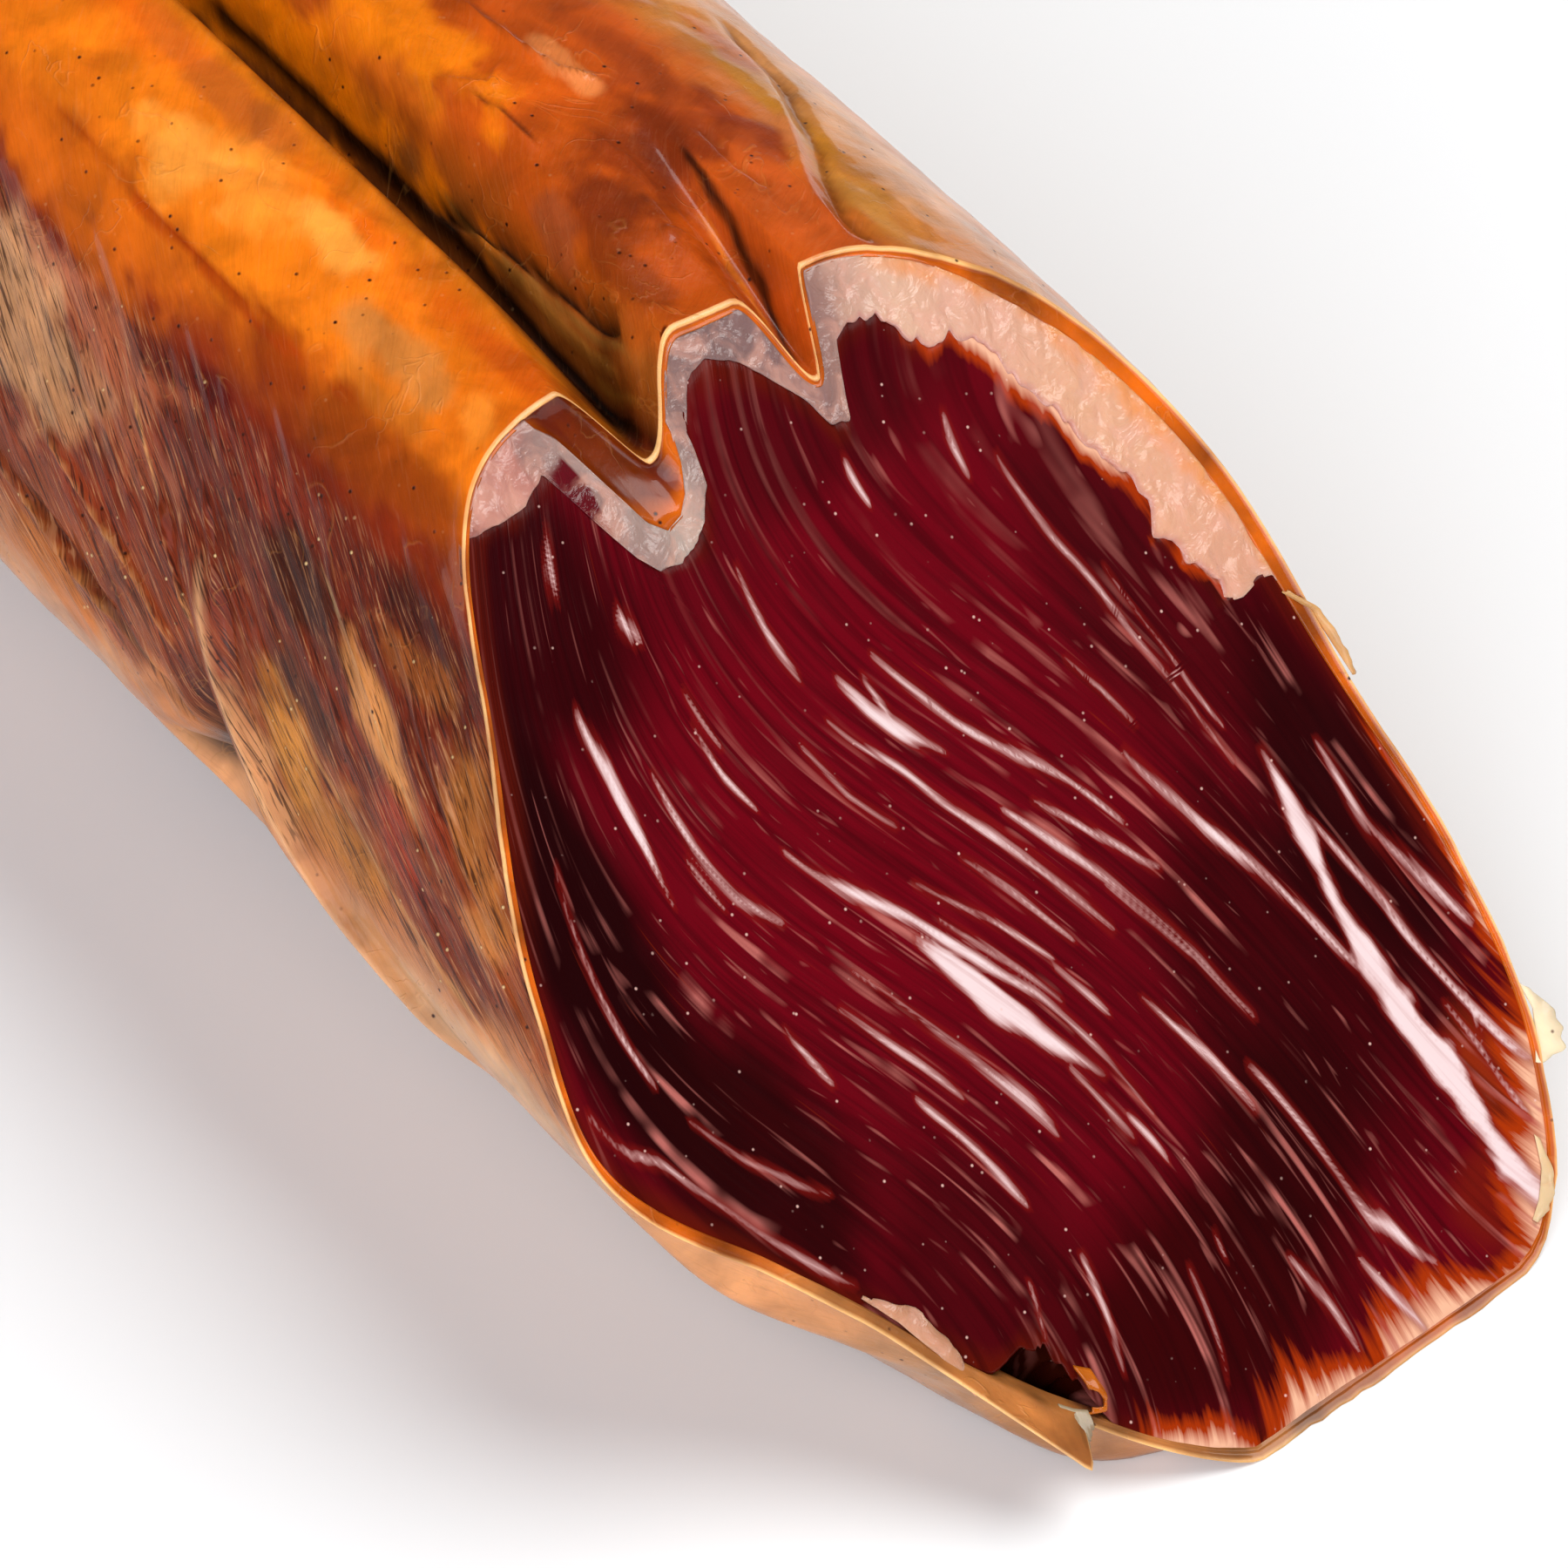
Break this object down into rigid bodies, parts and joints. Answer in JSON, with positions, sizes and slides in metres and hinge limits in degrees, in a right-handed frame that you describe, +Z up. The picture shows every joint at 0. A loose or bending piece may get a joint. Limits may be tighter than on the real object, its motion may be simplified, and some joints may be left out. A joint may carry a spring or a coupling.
{
  "type": "iberian cured pork loin piece",
  "caption": "Long piece of cured pork loin in a dried natural casing, creased along the top, round at one end and cut slantwise at the other to show marbled dark lean meat and a fat layer.",
  "frame": {"origin": "on the surface the piece lies on, under the middle of its box", "axes": "+X along the loin towards the cut end, +Z up, +Y to the right seen from the cut end"},
  "size_m": [0.2794, 0.0772, 0.0627],
  "materials": {
    "casing": "dried natural casing, amber to dark purple brown, semi-gloss, with pores and wrinkles",
    "fat": "cut cured back fat, pale pink to peach, moist and slightly see-through",
    "lean": "cut cured lean meat, dark crimson with pale marbling, moist gloss"
  },
  "bodies": {
    "root": {"casing": "casing", "fat_cap": "fat", "lean_meat": "lean"}
  },
  "joints": []
}
